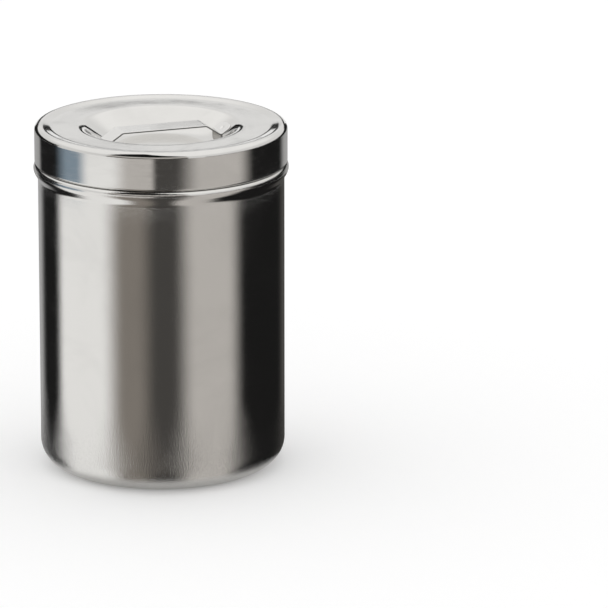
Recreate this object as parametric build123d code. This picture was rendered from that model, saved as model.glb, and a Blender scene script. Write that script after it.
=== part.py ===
from build123d import *
import os
from math import cos, radians, sin, sqrt, tan

# Dressing jar with a lift-off lid, all of drawn and bent stainless sheet, in millimetres.
# The origin is the middle of the base, +Z is up, and the strap handle runs along X.

# Jar body: the outside of the wall and base
body_radius = 76.5
wall_height = 184.9
jar_sheet = 0.7
base_corner_radius = 17.0
stand_ring_inner_radius = 46.0
base_panel_rise = 1.5
base_panel_run = 3.0

# Stop bead rolled out of the wall under the lid
bead_stand_out = 2.75
bead_lower_rise = 4.6
bead_crest_rise = 4.1
bead_shoulder_rise = 1.1
bead_foot_bend = 4.0
bead_lower_bend = 5.0
bead_upper_bend = 2.4
bead_neck_bend = 1.5

# Neck inside the lid, with its free edge rolled outwards into a closed round rim
neck_inset = 0.7
neck_height = 21.95
rim_roll_radius = 1.1

# Lid: how it sits on the jar, with the rolled rim in the hollow of the lid's corner
lid_sheet = 0.8
lid_side_clearance = 0.4
lid_seat_gap = 0.2
skirt_bead_gap = 0.3

# Lid: skirt, raised rim and the step down to the stacking face
skirt_lip_tuck = 0.6
skirt_lip_rise = 1.1
skirt_lip_bend = 1.5
lid_corner_radius = 3.6
lid_rim_width = 5.2
lid_step_run = 4.8
lid_step_drop = 1.2
lid_step_bend = 8.0

# Lid: the finger well, whose wall and stacking face meet at the mouth
well_mouth_radius = 49.2
well_depth = 12.2
well_wall_angle = 34
well_lip_bend = 9.0
well_floor_bend = 25.0

# Strap handle across the well
strap_width = 16.0
strap_sheet = 1.0
strap_top_drop = 1.0
strap_leg_angle = 33.5
strap_bend = 2.0
strap_edge_round = 0.3
foot_bedding = 0.1
foot_mouth_gap = 5.7
foot_length = 9.3
foot_corner_radius = 5.0
weld_dimple_radius = 1.6
weld_dimple_depth = 0.4

# Heights and radii that follow from the sizes above
bead_shoulder_z = wall_height + bead_lower_rise + bead_crest_rise + bead_shoulder_rise
bead_radius = body_radius + bead_stand_out
neck_radius = body_radius - neck_inset
rim_top_z = bead_shoulder_z + neck_height
rim_radius = neck_radius - jar_sheet + 2 * rim_roll_radius
skirt_radius = rim_radius + lid_side_clearance + lid_sheet
skirt_bottom_z = bead_shoulder_z + skirt_bead_gap
rim_roll_z = rim_top_z - rim_roll_radius
corner_inside_radius = lid_corner_radius - lid_sheet
roll_to_corner_x = corner_inside_radius - rim_roll_radius - lid_side_clearance
roll_to_corner = corner_inside_radius - rim_roll_radius - lid_seat_gap
roll_to_corner_z = sqrt(roll_to_corner**2 - roll_to_corner_x**2)
lid_top_z = rim_roll_z - roll_to_corner_z + lid_corner_radius
stacking_z = lid_top_z - lid_step_drop
well_floor_z = stacking_z - well_depth
wall_slope = radians(well_wall_angle)


def sheet_section(outline, thickness, side=Side.LEFT):
    """The section of a sheet whose one side is the outline and that lies to the given side of it."""
    return make_face(outline.offset_2d(thickness, side=side, closed=True).edges())


def turned(section):
    """Turn a section, drawn as radius and height, about the jar's axis."""
    return revolve(Plane.XZ * section, Axis.Z)


def named(shape, name):
    """Label a finished piece and write it under its own name."""
    shape.label = name
    export_step(shape, f"parts/{name}.step")


def jar_body():
    """Base, straight wall, stop bead, neck and rolled rim."""
    lower_bead_z = wall_height + bead_lower_rise
    upper_bead_z = lower_bead_z + bead_crest_rise
    wall = FilletPolyline(
        (stand_ring_inner_radius, 0),
        (body_radius, 0),
        (body_radius, wall_height),
        (bead_radius, lower_bead_z),
        (bead_radius, upper_bead_z),
        (neck_radius, bead_shoulder_z),
        (neck_radius, rim_roll_z),
        radius=[
            base_corner_radius,
            bead_foot_bend,
            bead_lower_bend,
            bead_upper_bend,
            bead_neck_bend,
        ],
    )
    base_panel = Polyline(
        (0, base_panel_rise),
        (stand_ring_inner_radius - base_panel_run, base_panel_rise),
        (stand_ring_inner_radius, 0),
    )
    section = sheet_section(Wire([*base_panel.edges(), *wall.edges()]), jar_sheet)
    section += Pos(rim_radius - rim_roll_radius, rim_roll_z) * Circle(rim_roll_radius)
    return turned(section)


def lid_outline():
    """The lid's outside line, from the lip of its skirt up and over to the middle of the well."""
    well_floor_radius = well_mouth_radius - well_depth / tan(wall_slope)
    step_radius = skirt_radius - lid_rim_width
    return FilletPolyline(
        (skirt_radius - skirt_lip_tuck, skirt_bottom_z),
        (skirt_radius, skirt_bottom_z + skirt_lip_rise),
        (skirt_radius, lid_top_z),
        (step_radius, lid_top_z),
        (step_radius - lid_step_run, stacking_z),
        (well_mouth_radius, stacking_z),
        (well_floor_radius, well_floor_z),
        (0, well_floor_z),
        radius=[
            skirt_lip_bend,
            lid_corner_radius,
            lid_step_bend,
            lid_step_bend,
            well_lip_bend,
            well_floor_bend,
        ],
    )


def lid_form(outline):
    """Everything under the lid's outside surface, as one solid that the feet are fitted to."""
    start = outline @ 0
    end = outline @ 1
    closing = Polyline((end.X, end.Y), (0, start.Y), (start.X, start.Y))
    return turned(make_face([*outline.edges(), *closing.edges()]))


def foot_point(way_down, lift=0.0):
    """A point so far down the well's wall from its mouth, and so far off it, as radius and height."""
    return (
        well_mouth_radius - way_down * cos(wall_slope) - lift * sin(wall_slope),
        stacking_z - way_down * sin(wall_slope) + lift * cos(wall_slope),
    )


def strap_handle(form):
    """One bent strip: flat grip, two legs and two feet bedded on the well's round wall."""
    underside_z = stacking_z - strap_top_drop - strap_sheet
    toe_x, toe_z = foot_point(foot_mouth_gap, -foot_bedding)
    heel_x, heel_z = foot_point(foot_mouth_gap + foot_length, -foot_bedding)
    grip_x = heel_x - (underside_z - heel_z) / tan(radians(strap_leg_angle))
    outer_bend = strap_bend + strap_sheet
    underside = FilletPolyline(
        (toe_x, toe_z),
        (heel_x, heel_z),
        (grip_x, underside_z),
        (-grip_x, underside_z),
        (-heel_x, heel_z),
        (-toe_x, toe_z),
        radius=[outer_bend, strap_bend, strap_bend, outer_bend],
    )
    side_view = sheet_section(underside, strap_sheet, Side.RIGHT)
    strip = extrude(Plane.XZ * side_view, strap_width / 2, both=True)
    toe_faces = strip.faces().sort_by(Axis.X)
    toe_corners = toe_faces[0].edges().filter_by(Axis.Y, reverse=True)
    toe_corners += toe_faces[-1].edges().filter_by(Axis.Y, reverse=True)
    strip = fillet(toe_corners, foot_corner_radius)
    strip = fillet(upper_edges(strip), strap_edge_round)
    ball_radius = (weld_dimple_radius**2 + weld_dimple_depth**2) / (2 * weld_dimple_depth)
    ball_lift = strap_sheet - foot_bedding + ball_radius - weld_dimple_depth
    ball_x, ball_z = foot_point(foot_mouth_gap + foot_length / 2, ball_lift)
    for side in (1, -1):
        centre = Vector(side * ball_x, 0, ball_z)
        up = Vector(-side * sin(wall_slope), 0, cos(wall_slope))
        strip -= Plane(centre, z_dir=up) * Sphere(ball_radius)
    return strip - form


def upper_edges(strip):
    """The edges along the strip's upper side, where it meets its two long sides and rounded corners."""
    upper = [face for face in strip.faces() if face.normal_at().Z > 0.7]
    others = [edge for face in strip.faces() if face not in upper for edge in face.edges()]
    return ShapeList(edge for face in upper for edge in face.edges() if edge in others)


os.makedirs("parts", exist_ok=True)
outline = lid_outline()
lid = turned(sheet_section(outline, lid_sheet))
handle = strap_handle(lid_form(outline))
named(jar_body(), "jar_body")
named(lid, "lid")
named(handle, "strap_handle")
print("height", round(lid_top_z, 2), "bead diameter", round(2 * bead_radius, 2))
print("handle solids", len(handle.solids()), "volume", round(handle.volume, 1))
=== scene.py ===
from math import acos, cos, pi, radians, sin, tan

import bpy
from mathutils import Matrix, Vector


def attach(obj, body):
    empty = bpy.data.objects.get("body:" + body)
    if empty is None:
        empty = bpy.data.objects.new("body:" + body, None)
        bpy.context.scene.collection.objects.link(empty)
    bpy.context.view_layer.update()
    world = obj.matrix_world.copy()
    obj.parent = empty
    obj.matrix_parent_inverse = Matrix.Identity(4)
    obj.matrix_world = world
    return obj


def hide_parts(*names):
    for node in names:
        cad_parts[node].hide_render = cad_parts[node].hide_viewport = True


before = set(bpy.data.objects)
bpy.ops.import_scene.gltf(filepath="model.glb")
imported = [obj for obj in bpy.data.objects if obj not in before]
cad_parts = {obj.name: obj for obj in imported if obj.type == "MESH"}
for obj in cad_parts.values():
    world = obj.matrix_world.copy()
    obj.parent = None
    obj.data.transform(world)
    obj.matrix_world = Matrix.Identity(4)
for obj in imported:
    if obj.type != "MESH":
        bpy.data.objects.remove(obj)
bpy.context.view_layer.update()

# Sizes of the jar and lid, as in their drawing
MM = 0.001
BODY_RADIUS = 76.5 * MM
WALL_HEIGHT = 184.9 * MM
JAR_SHEET = 0.7 * MM
BASE_CORNER = 17.0 * MM
STAND_RING = 46.0 * MM
PANEL_RISE = 1.5 * MM
PANEL_RUN = 3.0 * MM
BEAD_RADIUS = 79.2 * MM
BEAD_BENDS = [4 * MM, 5 * MM, 3.4 * MM, 1.5 * MM]
BEAD_LOWER_Z = WALL_HEIGHT + 4.6 * MM
BEAD_UPPER_Z = BEAD_LOWER_Z + 4.1 * MM
SHOULDER_Z = BEAD_UPPER_Z + 1.1 * MM
NECK_RADIUS = 75.8 * MM
RIM_TOP_Z = SHOULDER_Z + 21.95 * MM
RIM_ROLL = 1.1 * MM
LID_SHEET = 0.8 * MM
SKIRT_RADIUS = 78.5 * MM
SKIRT_BOTTOM_Z = SHOULDER_Z - 0.3 * MM
LIP_TUCK = 0.6 * MM
LIP_RISE = 1.1 * MM
LIP_BEND = 1.5 * MM
LID_CORNER = 3.6 * MM
LID_TOP_Z = 218.4 * MM
STEP_RADIUS = SKIRT_RADIUS - 5.2 * MM
STEP_RUN = 4.8 * MM
STEP_BEND = 8 * MM
STACKING_Z = LID_TOP_Z - 1.2 * MM
WELL_RADIUS = 49.2 * MM
WELL_DEPTH = 12.2 * MM
WELL_SLOPE = radians(34)
WELL_LIP_BEND = 9 * MM
WELL_FLOOR_BEND = 25 * MM
WELL_FLOOR_Z = STACKING_Z - WELL_DEPTH

# How finely the turned pieces are divided
TURNS = 384
ARC_STEP = radians(3)
ROLL_STEPS = 32
JAR_RUN = 6 * MM
LID_RUN = 4 * MM

# The studio: how far its cards stand off the jar, and the levels of its floor and sky
CARD_REACH = 0.13
FLOOR_REACH = 6.0
FLOOR_TONE = 0.94
FLOOR_GLOW = 0.17
PLAIN_SKY = 0.9
SKY_OVERHEAD = 1.28

# The camera, seen from the jar's axis
CAMERA_AZIMUTH = radians(-18.4)
CAMERA_DISTANCE = 3.602
CAMERA_HEIGHT = 1.112
CAMERA_PITCH = radians(15.67)
CAMERA_YAW = radians(1.41)
LENS = 354.6
SENSOR = 36.0


def put(name, data):
    """A new object in the scene."""
    piece = bpy.data.objects.new(name, data)
    bpy.context.scene.collection.objects.link(piece)
    return piece


def stand_camera():
    """The camera at the photograph's viewing angle."""
    data = bpy.data.cameras.new("camera")
    data.sensor_width = SENSOR
    data.lens = LENS
    data.clip_end = 60
    camera = put("camera", data)
    x = CAMERA_DISTANCE * sin(CAMERA_AZIMUTH)
    y = -CAMERA_DISTANCE * cos(CAMERA_AZIMUTH)
    camera.location = (x, y, CAMERA_HEIGHT)
    camera.rotation_euler = (pi / 2 - CAMERA_PITCH, 0, CAMERA_AZIMUTH - CAMERA_YAW)
    bpy.context.scene.camera = camera


# Section lines of the turned pieces


def rounded(points, bends):
    """A line through the points, as close points, with each inner corner bent to its radius."""
    line = [Vector(points[0])]
    for before, corner, after, bend in zip(points, points[1:], points[2:], bends):
        corner = Vector(corner)
        back = (Vector(before) - corner).normalized()
        ahead = (Vector(after) - corner).normalized()
        half = back.angle(ahead) / 2
        centre = corner + (back + ahead).normalized() * bend / sin(half)
        start = corner + back * bend / tan(half) - centre
        sweep = pi - 2 * half
        if back.cross(ahead) > 0:
            sweep = -sweep
        steps = max(3, round(abs(sweep) / ARC_STEP))
        for i in range(steps + 1):
            turn = sweep * i / steps
            x = start.x * cos(turn) - start.y * sin(turn)
            y = start.x * sin(turn) + start.y * cos(turn)
            line.append(centre + Vector((x, y)))
    line.append(Vector(points[-1]))
    return line


def divided(line, longest):
    """The line with its long runs divided, so that the turned mesh has even faces."""
    points = [line[0]]
    for point in line[1:]:
        run = point - points[-1]
        count = max(1, round(run.length / longest))
        start = points[-1]
        points += [start + run * (i / count) for i in range(1, count + 1)]
    return points


def inside_of(line, sheet):
    """The sheet's other side: the line moved to its left by the sheet's thickness."""
    moved = []
    for before, point, after in zip([line[0], *line], line, [*line[1:], line[-1]]):
        along = (after - before).normalized()
        moved.append(point + Vector((-along.y, along.x)) * sheet)
    return moved


def turned(name, section):
    """The closed section turned about the jar's axis. Its points are radius and height."""
    vertices = []
    rings = []
    for point in section:
        first = len(vertices)
        if point.x < 1e-6:
            rings.append([first])
            vertices.append((0, 0, point.y))
        else:
            rings.append(list(range(first, first + TURNS)))
            for i in range(TURNS):
                turn = 2 * pi * i / TURNS
                vertices.append((point.x * cos(turn), point.x * sin(turn), point.y))
    faces = []
    for low, high in zip(rings, [*rings[1:], rings[0]]):
        for i in range(TURNS):
            j = (i + 1) % TURNS
            corners = [ring[k % len(ring)] for ring, k in ((low, i), (low, j), (high, j), (high, i))]
            corners = list(dict.fromkeys(corners))
            if len(corners) > 2:
                faces.append(corners)
    mesh = bpy.data.meshes.new(name)
    mesh.from_pydata(vertices, [], faces)
    mesh.shade_smooth()
    return put(name, mesh)


def jar_section():
    """The jar's sheet: base panel, stand ring, wall, stop bead and neck, with a rolled rim."""
    roll_x = NECK_RADIUS - JAR_SHEET + RIM_ROLL
    roll_z = RIM_TOP_Z - RIM_ROLL
    corners = [
        (STAND_RING, 0),
        (BODY_RADIUS, 0),
        (BODY_RADIUS, WALL_HEIGHT),
        (BEAD_RADIUS, BEAD_LOWER_Z),
        (BEAD_RADIUS, BEAD_UPPER_Z),
        (NECK_RADIUS, SHOULDER_Z),
        (NECK_RADIUS, roll_z - RIM_ROLL),
    ]
    panel = [Vector((0, PANEL_RISE)), Vector((STAND_RING - PANEL_RUN, PANEL_RISE))]
    outside = divided([*panel, *rounded(corners, [BASE_CORNER, *BEAD_BENDS])], JAR_RUN)
    inside = inside_of(outside, JAR_SHEET)
    inside[0] = Vector((0, PANEL_RISE + JAR_SHEET))
    start = -acos((NECK_RADIUS - roll_x) / RIM_ROLL)
    roll = []
    for i in range(ROLL_STEPS + 1):
        turn = start + (pi - start) * i / ROLL_STEPS
        roll.append(Vector((roll_x + RIM_ROLL * cos(turn), roll_z + RIM_ROLL * sin(turn))))
    return [*outside[:-1], *roll, *reversed(inside[:-1])]


def lid_section():
    """The lid's sheet: skirt, rounded rim, step, stacking face and finger well."""
    corners = [
        (SKIRT_RADIUS - LIP_TUCK, SKIRT_BOTTOM_Z),
        (SKIRT_RADIUS, SKIRT_BOTTOM_Z + LIP_RISE),
        (SKIRT_RADIUS, LID_TOP_Z),
        (STEP_RADIUS, LID_TOP_Z),
        (STEP_RADIUS - STEP_RUN, STACKING_Z),
        (WELL_RADIUS, STACKING_Z),
        (WELL_RADIUS - WELL_DEPTH / tan(WELL_SLOPE), WELL_FLOOR_Z),
        (0, WELL_FLOOR_Z),
    ]
    bends = [LIP_BEND, LID_CORNER, STEP_BEND, STEP_BEND, WELL_LIP_BEND, WELL_FLOOR_BEND]
    outside = divided(rounded(corners, bends), LID_RUN)
    inside = inside_of(outside, LID_SHEET)
    inside[-1] = Vector((0, WELL_FLOOR_Z - LID_SHEET))
    return [*outside, *reversed(inside)]


# Nodes


def node(tree, kind, settings=None, **inputs):
    """A node with its settings, and its inputs set to values or joined to sockets."""
    made = tree.nodes.new("ShaderNode" + kind)
    for name, value in (settings or {}).items():
        setattr(made, name, value)
    for name, value in inputs.items():
        socket = made.inputs[int(name[1:])] if name[1:].isdigit() else made.inputs[name.replace("_", " ")]
        if isinstance(value, bpy.types.NodeSocket):
            tree.links.new(value, socket)
        else:
            socket.default_value = value
    return made


def maths(tree, operation, a, b=0.0, clamp=False):
    """Two values put together by one operation."""
    return node(tree, "Math", {"operation": operation, "use_clamp": clamp}, i0=a, i1=b).outputs[0]


def ramp(tree, value, low, high, to_low=0.0, to_high=1.0):
    """A value brought smoothly from one range to another."""
    made = node(tree, "MapRange", {"interpolation_type": "SMOOTHSTEP"}, Value=value,
                From_Min=low, From_Max=high, To_Min=to_low, To_Max=to_high)
    return made.outputs["Result"]


def noise(tree, place, scale, detail=2.0, roughness=0.5, distortion=0.0):
    """Soft noise at a place, from 0 to 1."""
    made = node(tree, "TexNoise", Vector=place, Scale=scale, Detail=detail, Roughness=roughness,
                Distortion=distortion)
    return made.outputs["Fac"]


def group(name, inputs, outputs):
    """An empty node group with its sockets, and its inner input and output nodes."""
    tree = bpy.data.node_groups.new(name, "ShaderNodeTree")
    for socket, kind, value in inputs:
        made = tree.interface.new_socket(socket, in_out="INPUT", socket_type=kind)
        if value is not None:
            made.default_value = value
    for socket in outputs:
        tree.interface.new_socket(socket, in_out="OUTPUT", socket_type="NodeSocketFloat")
    return tree, tree.nodes.new("NodeGroupInput"), tree.nodes.new("NodeGroupOutput")


def polishing_lines():
    """Fine lines that polishing leaves round the turned sheet: their height and their mask."""
    inputs = [("Place", "NodeSocketVector", None), ("Fineness", "NodeSocketFloat", 900.0)]
    tree, given, result = group("polishing_lines", inputs, ["Height", "Mask"])
    split = node(tree, "SeparateXYZ", Vector=given.outputs["Place"])
    across = node(tree, "CombineXYZ", X=split.outputs["X"], Y=split.outputs["Y"])
    radius = node(tree, "VectorMath", {"operation": "LENGTH"}, i0=across.outputs[0]).outputs["Value"]
    round_it = node(tree, "VectorMath", {"operation": "NORMALIZE"}, i0=across.outputs[0]).outputs[0]
    drift = noise(tree, given.outputs["Place"], 14.0, 1.0)
    along = maths(tree, "SUBTRACT", split.outputs["Z"], radius)
    along = maths(tree, "ADD", along, maths(tree, "MULTIPLY", drift, 0.004))
    along = maths(tree, "MULTIPLY", along, given.outputs["Fineness"])
    turn = node(tree, "SeparateXYZ", Vector=round_it)
    lines = node(tree, "CombineXYZ", X=maths(tree, "MULTIPLY", turn.outputs["X"], 5.0),
                 Y=maths(tree, "MULTIPLY", turn.outputs["Y"], 5.0), Z=along)
    fine = noise(tree, lines.outputs[0], 1.0, 3.0, 0.65)
    facing = node(tree, "SeparateXYZ", Vector=node(tree, "TexCoord").outputs["Normal"]).outputs["Z"]
    upright = ramp(tree, maths(tree, "ABSOLUTE", facing), 0.35, 0.9, 1.0, 0.25)
    tree.links.new(maths(tree, "MULTIPLY", fine, upright), result.inputs["Height"])
    mask = maths(tree, "MULTIPLY", ramp(tree, fine, 0.35, 0.68), upright)
    tree.links.new(mask, result.inputs["Mask"])
    return tree


def satin_grain():
    """The pebbled grain of deep-drawn sheet, stronger where it was stretched most."""
    inputs = [
        ("Place", "NodeSocketVector", None),
        ("Scale", "NodeSocketFloat", 900.0),
        ("Low", "NodeSocketFloat", 0.0),
        ("High", "NodeSocketFloat", 0.08),
    ]
    tree, given, result = group("satin_grain", inputs, ["Height", "Stretch"])
    split = node(tree, "SeparateXYZ", Vector=given.outputs["Place"])
    ragged = noise(tree, given.outputs["Place"], 30.0, 2.0)
    height = maths(tree, "ADD", split.outputs["Z"], maths(tree, "MULTIPLY", ragged, 0.03))
    stretch = ramp(tree, height, given.outputs["Low"], given.outputs["High"], 1.0, 0.0)
    pebbles = noise(tree, given.outputs["Place"], given.outputs["Scale"], 2.0, 0.6)
    tree.links.new(pebbles, result.inputs["Height"])
    tree.links.new(stretch, result.inputs["Stretch"])
    return tree


def handling_marks():
    """Smudges from wiping and hands."""
    inputs = [("Place", "NodeSocketVector", None), ("Size", "NodeSocketFloat", 18.0)]
    tree, given, result = group("handling_marks", inputs, ["Smudge"])
    smudge = noise(tree, given.outputs["Place"], given.outputs["Size"], 4.0, 0.6, 0.8)
    tree.links.new(ramp(tree, smudge, 0.42, 0.72), result.inputs["Smudge"])
    return tree


LINES = polishing_lines()
GRAIN = satin_grain()
MARKS = handling_marks()


def steel(name, colour, roughness, anisotropy, lines, grain, marks, fineness, grain_scale, waviness,
          painted_edge_shade=0.0):
    """Bare stainless steel with polishing lines, drawn grain and the marks of handling.

    lines and grain say how strongly each shows, first in the surface and then in its gloss, and
    grain also in its tone. marks show in the gloss. The last argument darkens the sheared upright edges
    with painted shade, by the way they face.
    """
    material = bpy.data.materials.new(name)
    material.use_nodes = True
    tree = material.node_tree
    shader = tree.nodes["Principled BSDF"]
    shader.inputs["Metallic"].default_value = 1
    shader.inputs["Anisotropic"].default_value = anisotropy
    shader.inputs["Anisotropic Rotation"].default_value = 0.25
    place = node(tree, "TexCoord").outputs["Object"]
    polish = node(tree, "Group", {"node_tree": LINES}, Place=place, Fineness=fineness)
    pebble = node(tree, "Group", {"node_tree": GRAIN}, Place=place, Scale=grain_scale)
    wear = node(tree, "Group", {"node_tree": MARKS}, Place=place)
    spread = pebble.outputs["Stretch"]
    rough = maths(tree, "MULTIPLY", polish.outputs["Mask"], lines[1])
    rough = maths(tree, "ADD", rough, maths(tree, "MULTIPLY", spread, grain[1]))
    rough = maths(tree, "ADD", rough, maths(tree, "MULTIPLY", wear.outputs["Smudge"], marks))
    rough = maths(tree, "ADD", rough, roughness, clamp=True)
    tree.links.new(rough, shader.inputs["Roughness"])
    tone = node(tree, "Mix", {"data_type": "RGBA"})
    speckle = ramp(tree, pebble.outputs["Height"], 0.40, 0.60)
    speckle = maths(tree, "MULTIPLY", maths(tree, "MULTIPLY", speckle, spread), grain[2])
    # How far the colour darkens: smudges and grain speckle are marks on the steel, and on upright edges
    # painted shade is added
    marks_and_edge_shade = maths(tree, "ADD", maths(tree, "MULTIPLY", wear.outputs["Smudge"], 0.2), speckle, clamp=True)
    # Painted shade: faces that stand upright are darkened by their facing alone, not by any mark on the
    # steel
    if painted_edge_shade:
        facing = node(tree, "SeparateXYZ", Vector=node(tree, "TexCoord").outputs["Normal"]).outputs["Z"]
        edge_shade = ramp(tree, maths(tree, "ABSOLUTE", facing), 0.1, 0.7, painted_edge_shade, 0.0)
        marks_and_edge_shade = maths(tree, "ADD", marks_and_edge_shade, edge_shade)
    tree.links.new(marks_and_edge_shade, tone.inputs[0])
    tone.clamp_factor = False
    tone.inputs[6].default_value = (*colour, 1)
    tone.inputs[7].default_value = (*[c * 0.75 for c in colour], 1)
    tree.links.new(tone.outputs[2], shader.inputs["Base Color"])
    wave = maths(tree, "MULTIPLY", noise(tree, place, 38.0, 2.0, 0.4), waviness)
    height = maths(tree, "ADD", wave, maths(tree, "MULTIPLY", polish.outputs["Height"], lines[0]))
    share = maths(tree, "ADD", maths(tree, "MULTIPLY", spread, 0.9), 0.1)
    pebbles = maths(tree, "MULTIPLY", maths(tree, "MULTIPLY", pebble.outputs["Height"], share), grain[0])
    height = maths(tree, "ADD", height, pebbles)
    bump = node(tree, "Bump", Height=height, Distance=0.001, Strength=1.0)
    tree.links.new(bump.outputs["Normal"], shader.inputs["Normal"])
    tangent = node(tree, "Tangent", {"direction_type": "RADIAL", "axis": "Z"})
    tree.links.new(tangent.outputs["Tangent"], shader.inputs["Tangent"])
    return material


# Studio


def heading(azimuth):
    """The level direction at an azimuth from the camera's side, in degrees, positive to its right."""
    turn = CAMERA_AZIMUTH - pi / 2 + radians(azimuth)
    return Vector((cos(turn), sin(turn), 0))


def only_mirrored(piece):
    """A studio card is seen in the steel alone."""
    piece.visible_camera = False
    piece.visible_diffuse = False
    piece.visible_shadow = False
    piece.visible_transmission = False
    piece.visible_volume_scatter = False


def glow_material(name):
    """An even glow in the card's own tones."""
    material = bpy.data.materials.new(name)
    material.use_nodes = True
    tree = material.node_tree
    tree.nodes.clear()
    tones = node(tree, "Attribute", {"attribute_name": "tone"})
    glow = node(tree, "Emission", Color=tones.outputs["Color"])
    output = node(tree, "OutputMaterial")
    tree.links.new(glow.outputs[0], output.inputs["Surface"])
    return material


def sheet_of(name, columns, tones):
    """A card from columns of points, each point with its own tone."""
    depth = len(columns[0])
    vertices = [point for column in columns for point in column]
    faces = []
    for i in range(len(columns) - 1):
        for k in range(depth - 1):
            a = i * depth + k
            faces.append((a, a + depth, a + depth + 1, a + 1))
    mesh = bpy.data.meshes.new(name)
    mesh.from_pydata(vertices, [], faces)
    colours = mesh.color_attributes.new("tone", "FLOAT_COLOR", "POINT")
    for point, tone in zip(colours.data, [tone for column in tones for tone in column]):
        point.color = (*tone, 1)
    mesh.materials.append(glow_material(name))
    piece = put(name, mesh)
    only_mirrored(piece)
    return piece


def tone_at(angle, panels):
    """The tone at an angle round the wall, blended from one panel into the next."""
    stops = [(edge, tone) for start, end, tone in panels for edge in (start, end)]
    for (a, tone_a), (b, tone_b) in zip(stops, stops[1:]):
        if a <= angle <= b:
            share = (angle - a) / (b - a)
            share = share * share * (3 - 2 * share)
            return tuple(u + (v - u) * share for u, v in zip(tone_a, tone_b))
    return stops[-1][1]


def curtain(name, radius, low, high, panels, foot=False, count=180):
    """A card hung round the jar between two heights, where a wall of this radius mirrors it.

    A panel runs from one angle round the wall to another in one tone. The foot lies on the floor
    from the wall outwards, so that the card is mirrored down to the base.
    """
    first = panels[0][0]
    last = panels[-1][1]
    columns = []
    tones = []
    for i in range(count + 1):
        angle = first + (last - first) * i / count
        near = heading(angle) * radius
        far = near + heading(2 * angle) * CARD_REACH
        column = [far + Vector((0, 0, height)) for height in (low, high)]
        if foot:
            column.insert(0, near + Vector((0, 0, low)))
        columns.append(column)
        tones.append([tone_at(angle, panels)] * len(column))
    return sheet_of(name, columns, tones)


def rim_card(name, left, right, bands, narrowing=0, count=60):
    """A card above the curtain, where the lid's rounded rim and the bead mirror it.

    A band runs between two angles up from the level. The last one may narrow towards its right end.
    """
    edges = [(edge, tone) for low, high, tone in bands for edge in (low, high)]
    columns = []
    for i in range(count + 1):
        angle = left + (right - left) * i / count
        near = heading(angle) * SKIRT_RADIUS + Vector((0, 0, LID_TOP_Z - LID_CORNER / 2))
        turns = [edge for edge, tone in edges]
        turns[-1] -= narrowing * (i / count) ** 2
        column = []
        for turn in turns:
            up = radians(turn)
            column.append(near + (heading(2 * angle) * cos(up) + Vector((0, 0, sin(up)))) * CARD_REACH)
        columns.append(column)
    return sheet_of(name, columns, [[tone for edge, tone in edges]] * (count + 1))


def far_card(name, left, right, low, high, distance, tone):
    """A far card between two azimuths and two elevations, in degrees, seen from the lid."""
    columns = []
    count = 24
    for i in range(count + 1):
        side = heading(left + (right - left) * i / count)
        column = []
        for elevation in (low, high):
            rise = distance * sin(radians(elevation))
            column.append(side * distance * cos(radians(elevation)) + Vector((0, 0, LID_TOP_Z + rise)))
        columns.append(column)
    return sheet_of(name, columns, [[tone, tone]] * (count + 1))


def floor():
    """A plain pale floor, white to the camera and in the steel, that keeps the jar's shadow."""
    corners = [(x * FLOOR_REACH, y * FLOOR_REACH, 0) for x, y in ((-1, -1), (1, -1), (1, 1), (-1, 1))]
    mesh = bpy.data.meshes.new("floor")
    mesh.from_pydata(corners, [], [(0, 1, 2, 3)])
    piece = put("floor", mesh)
    material = bpy.data.materials.new("floor")
    material.use_nodes = True
    tree = material.node_tree
    shader = tree.nodes["Principled BSDF"]
    shader.inputs["Base Color"].default_value = (FLOOR_TONE, FLOOR_TONE, FLOOR_TONE, 1)
    shader.inputs["Roughness"].default_value = 0.9
    shader.inputs["Specular IOR Level"].default_value = 0.0
    shader.inputs["Emission Color"].default_value = (1, 1, 1, 1)
    glow = maths(tree, "MULTIPLY", seen_or_mirrored(tree), FLOOR_GLOW)
    tree.links.new(glow, shader.inputs["Emission Strength"])
    mesh.materials.append(material)


def seen_or_mirrored(tree):
    """One where the camera sees a surface straight or in steel, and nought where it only lights."""
    path = node(tree, "LightPath")
    seen = maths(tree, "ADD", path.outputs["Is Camera Ray"], path.outputs["Is Glossy Ray"])
    return maths(tree, "ADD", seen, path.outputs["Is Transmission Ray"], clamp=True)


def sky():
    """White behind the scene for the camera and the steel, paler still overhead, plain for the rest."""
    world = bpy.data.worlds.new("studio")
    bpy.context.scene.world = world
    world.use_nodes = True
    tree = world.node_tree
    tree.nodes.clear()
    direction = node(tree, "TexCoord").outputs["Generated"]
    up = node(tree, "SeparateXYZ", Vector=direction).outputs["Z"]
    white = ramp(tree, up, 0.38, 0.64, 1.0, SKY_OVERHEAD)
    level = node(tree, "Mix", {"data_type": "FLOAT"})
    tree.links.new(seen_or_mirrored(tree), level.inputs[0])
    level.inputs[2].default_value = PLAIN_SKY
    tree.links.new(white, level.inputs[3])
    background = node(tree, "Background", Color=(1, 1, 1, 1), Strength=level.outputs[0])
    output = node(tree, "OutputWorld")
    tree.links.new(background.outputs[0], output.inputs["Surface"])


def grey(level, warmth=0.0):
    """A tone, warmer where warmth is above nought and cooler below it."""
    return (level * (1 + warmth), level, level * (1 - warmth))


stand_camera()
floor()
sky()

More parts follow.
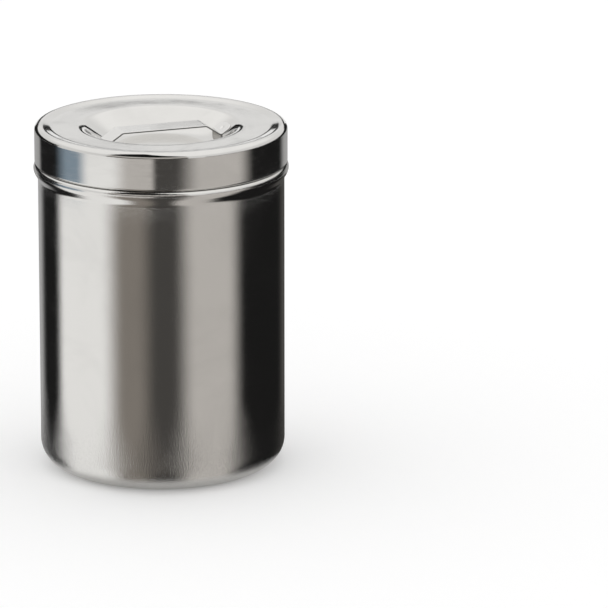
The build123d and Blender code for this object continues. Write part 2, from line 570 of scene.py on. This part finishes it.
jar = turned("jar_shell", jar_section())
lid = turned("lid_shell", lid_section())
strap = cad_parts["strap_handle"]
jar.data.materials.append(steel(
    "satin_jar_steel", (0.60, 0.59, 0.57), 0.08, 0.4,
    lines=(0.002, 0.04), grain=(0.46, 0.04, 0.4), marks=0.06, fineness=1400.0, grain_scale=1250.0,
    waviness=0.10,
))
lid.data.materials.append(steel(
    "polished_lid_steel", (0.60, 0.59, 0.57), 0.06, 0.3,
    lines=(0.006, 0.10), grain=(0.0, 0.0, 0.0), marks=0.05, fineness=1100.0, grain_scale=900.0,
    waviness=0.10,
))
# The strap's steel, with painted shade darkening its upright cut edges
strap.data.materials.clear()
strap.data.materials.append(steel(
    "polished_strap_steel", (0.69, 0.68, 0.66), 0.10, 0.0,
    lines=(0.001, 0.02), grain=(0.0, 0.0, 0.0), marks=0.05, fineness=900.0, grain_scale=900.0,
    waviness=0.02, painted_edge_shade=3.0,
))
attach(jar, "jar")
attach(lid, "lid_with_strap")
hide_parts("jar_body")
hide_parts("lid")

# Studio cards, by angle round the jar from its left edge to its right, in a few plain tones
PALE = grey(1.2)
TAN = grey(0.68, 0.04)
BROWN = grey(0.28, 0.10)
COOL = grey(0.40, -0.22)
MIDDLE = grey(0.45)
DARK = grey(0.08, 0.05)
BLACK = grey(0.015)

curtain("wall_cards", BODY_RADIUS, 0.0006, 0.152, [
    (-90, -79, MIDDLE),
    (-70, -59, BLACK),
    (-52, -30, PALE),
    (-18, -12, BROWN),
    (-2, 5, DARK),
    (16, 32, TAN),
    (42, 70, BLACK),
    (80, 90, DARK),
], foot=True)
curtain("skirt_cards", SKIRT_RADIUS, 0.1525, 0.2000, [
    (-90, -74, MIDDLE),
    (-70, -57, BLACK),
    (-47, -42, COOL),
    (-34, -24, PALE),
    (-14, -5, TAN),
    (-2, 6, DARK),
    (19, 36, TAN),
    (47, 68, BLACK),
    (76, 90, MIDDLE),
])
rim_card("front_cards", -25, 12, [(-7, 5, DARK), (6, 24, TAN), (28, 94, BLACK)], narrowing=62)
rim_card("left_card", -84, -53, [(-7, 13, BLACK)])
rim_card("right_card", 20, 84, [(-7, -3, BLACK)], narrowing=-16)
far_card("back_dark", 155, 205, 7.5, 12.6, 1.5, BLACK)
far_card("back_left_dark", -174, -148, 1.5, 7.4, 1.5, BLACK)

bpy.context.scene.view_settings.view_transform = "Standard"
